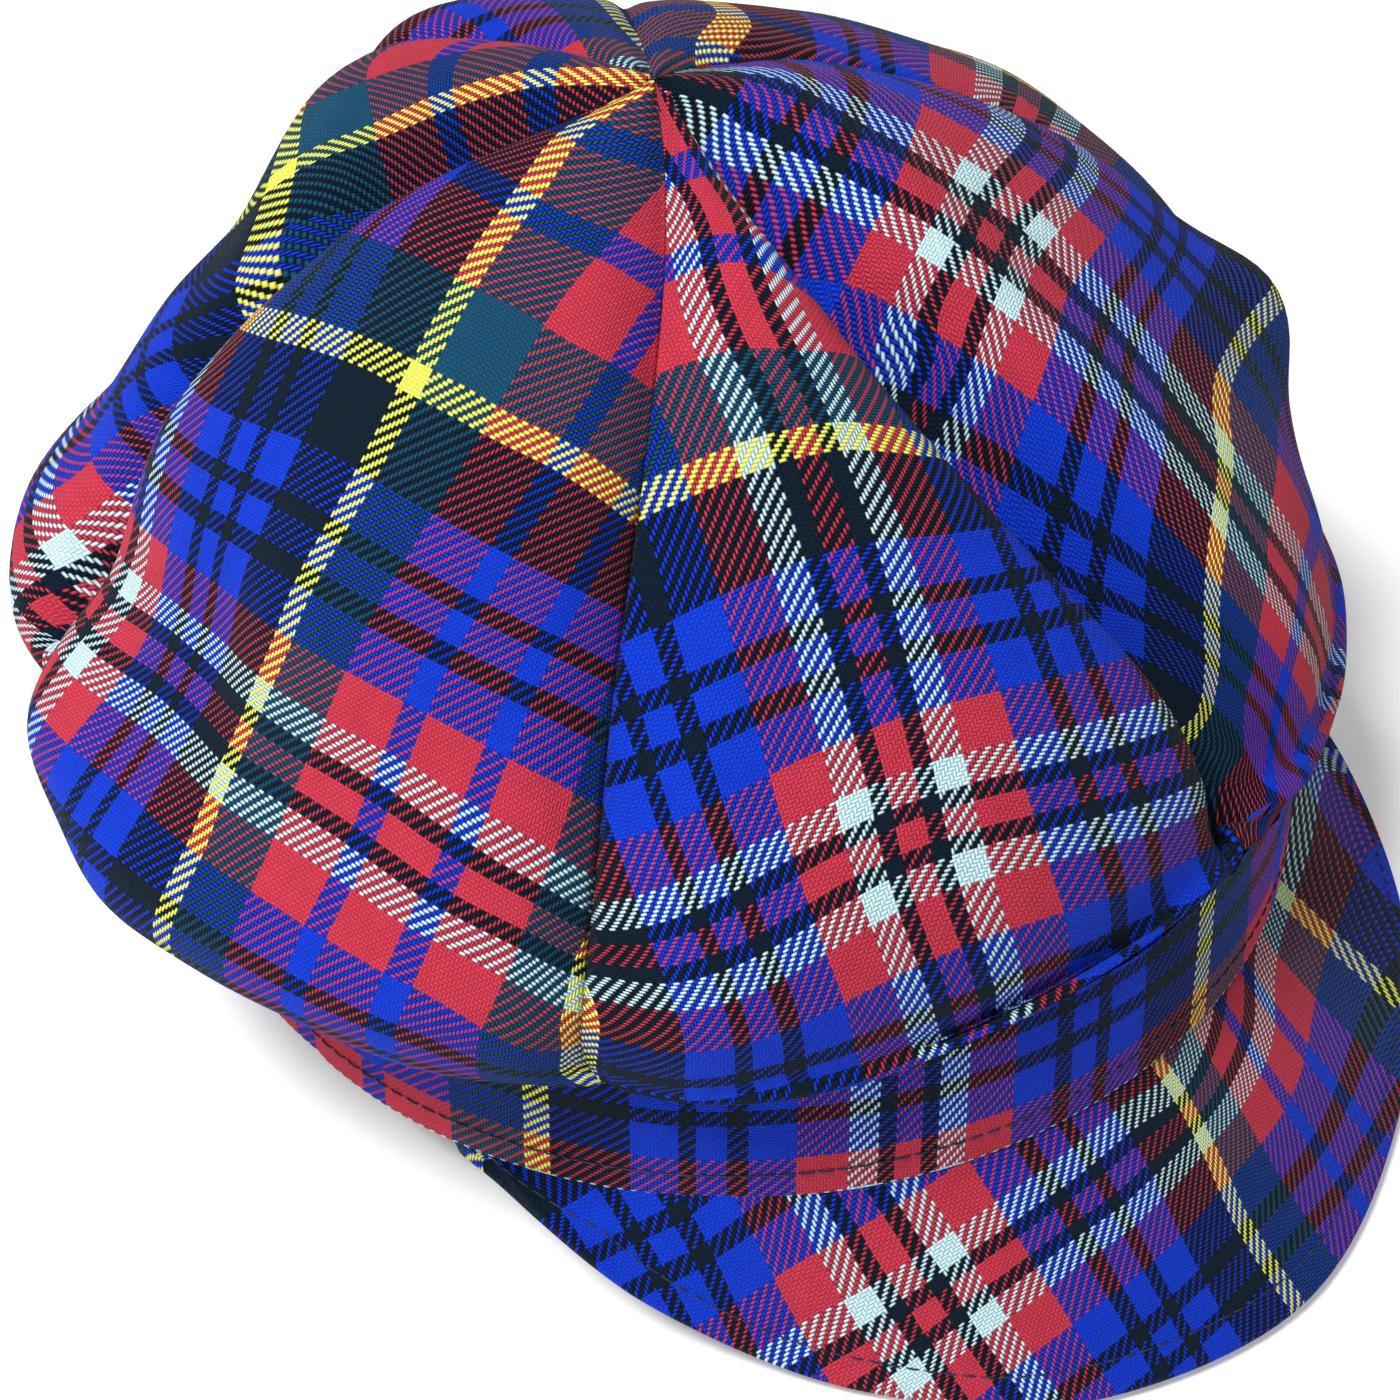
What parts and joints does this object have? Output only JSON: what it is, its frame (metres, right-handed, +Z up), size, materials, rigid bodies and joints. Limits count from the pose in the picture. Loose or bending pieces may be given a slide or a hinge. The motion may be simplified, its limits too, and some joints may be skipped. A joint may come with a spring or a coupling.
{
  "type": "tartan baker-boy cap",
  "caption": "Soft baker-boy cap with a puffy gored crown, an upright band and a short curved peak, open below for the head.",
  "frame": {"origin": "middle of the cap's box, on the surface that the cap lies on", "axes": "+Z up from the surface; the peak points along -Y; +X is to the wearer's left"},
  "size_m": [0.2302, 0.2604, 0.1416],
  "materials": {
    "crown_tartan": "brushed twill wool in a red, blue, navy, green, white and yellow tartan",
    "band_tartan": "brushed twill wool tartan with a line of stitching",
    "peak_tartan": "brushed twill wool tartan over a stiff board, stitched near its edge"
  },
  "bodies": {
    "root": {"crown_panel_back_left": "crown_tartan", "crown_panel_left": "crown_tartan", "crown_panel_front": "crown_tartan", "crown_panel_front_right": "crown_tartan", "crown_panel_back_right": "crown_tartan", "crown_panel_back": "crown_tartan", "band": "band_tartan", "peak": "peak_tartan"}
  },
  "joints": []
}
